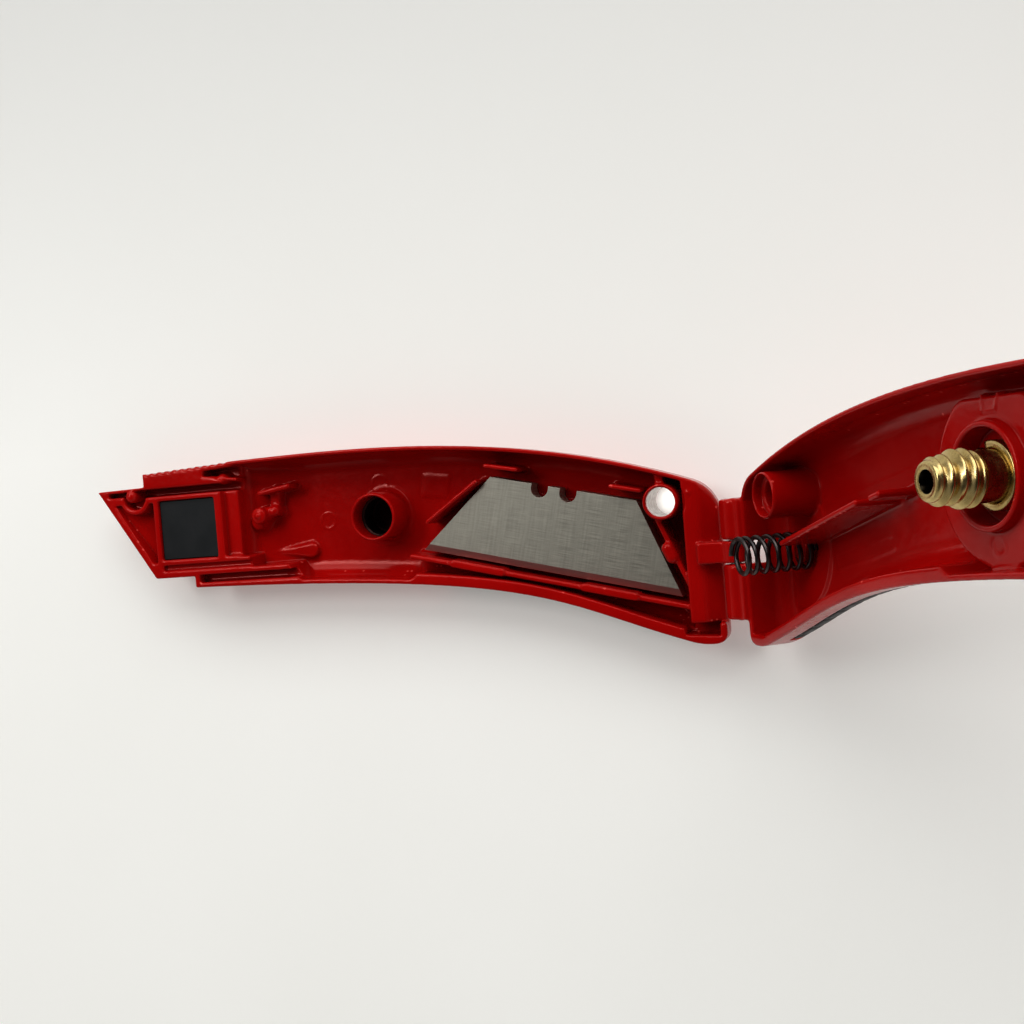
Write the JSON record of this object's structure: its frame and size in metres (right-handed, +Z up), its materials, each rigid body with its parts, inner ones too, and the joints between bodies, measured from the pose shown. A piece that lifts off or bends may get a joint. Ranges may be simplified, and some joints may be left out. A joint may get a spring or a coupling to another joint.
{
  "type": "utility knife",
  "caption": "Die-cast utility knife, hinged open like a clam shell at its butt, with spare blades, nose magnet, captive clamp screw and spring.",
  "frame": {"origin": "on the base half's flat back, where the closed knife's clamp screw axis meets it", "axes": "+X from nose to butt along the base half, +Y towards the spine of the knife, +Z up out of the open base half"},
  "size_m": [0.2456, 0.0489, 0.1412],
  "materials": {
    "red_paint": "glossy",
    "blade_steel": "satin",
    "pin_steel": "satin",
    "spring_steel": "oiled",
    "brass": "turned",
    "magnet": "satin",
    "soft_grip": "matt"
  },
  "bodies": {
    "base": {"base_shell": "red_paint", "base_grip": "soft_grip", "nose_magnet": "magnet", "spare_blade_1": "blade_steel", "spare_blade_2": "blade_steel", "spare_blade_3": "blade_steel", "spare_blade_4": "blade_steel", "spare_blade_5": "blade_steel", "spare_blade_6": "blade_steel", "spare_blade_7": "blade_steel", "spare_blade_8": "blade_steel"},
    "lid": {"lid_shell": "red_paint", "lid_grip": "soft_grip", "hinge_pin": "pin_steel", "lid_spring": "spring_steel"},
    "clip": {"retaining_clip": "brass"},
    "screw": {"clamp_screw": "brass"}
  },
  "joints": [
    {"name": "lid_swing", "type": "hinge", "parent": "base", "child": "lid", "pos_m": [0.0824, -0.01505, 0.0115], "axis": [0, 1, 0], "range_deg": [-123.4, 0], "deforming": ["lid_spring"]},
    {"name": "screw_float", "type": "slide", "parent": "lid", "child": "clip", "axis": [-0.8348, 0, 0.5505], "range_m": [0, 0.00175]},
    {"name": "screw_turn", "type": "hinge", "parent": "clip", "child": "screw", "pos_m": [0.12776, 0, 0.08029], "axis": [-0.8348, 0, 0.5505], "continuous": true}
  ]
}
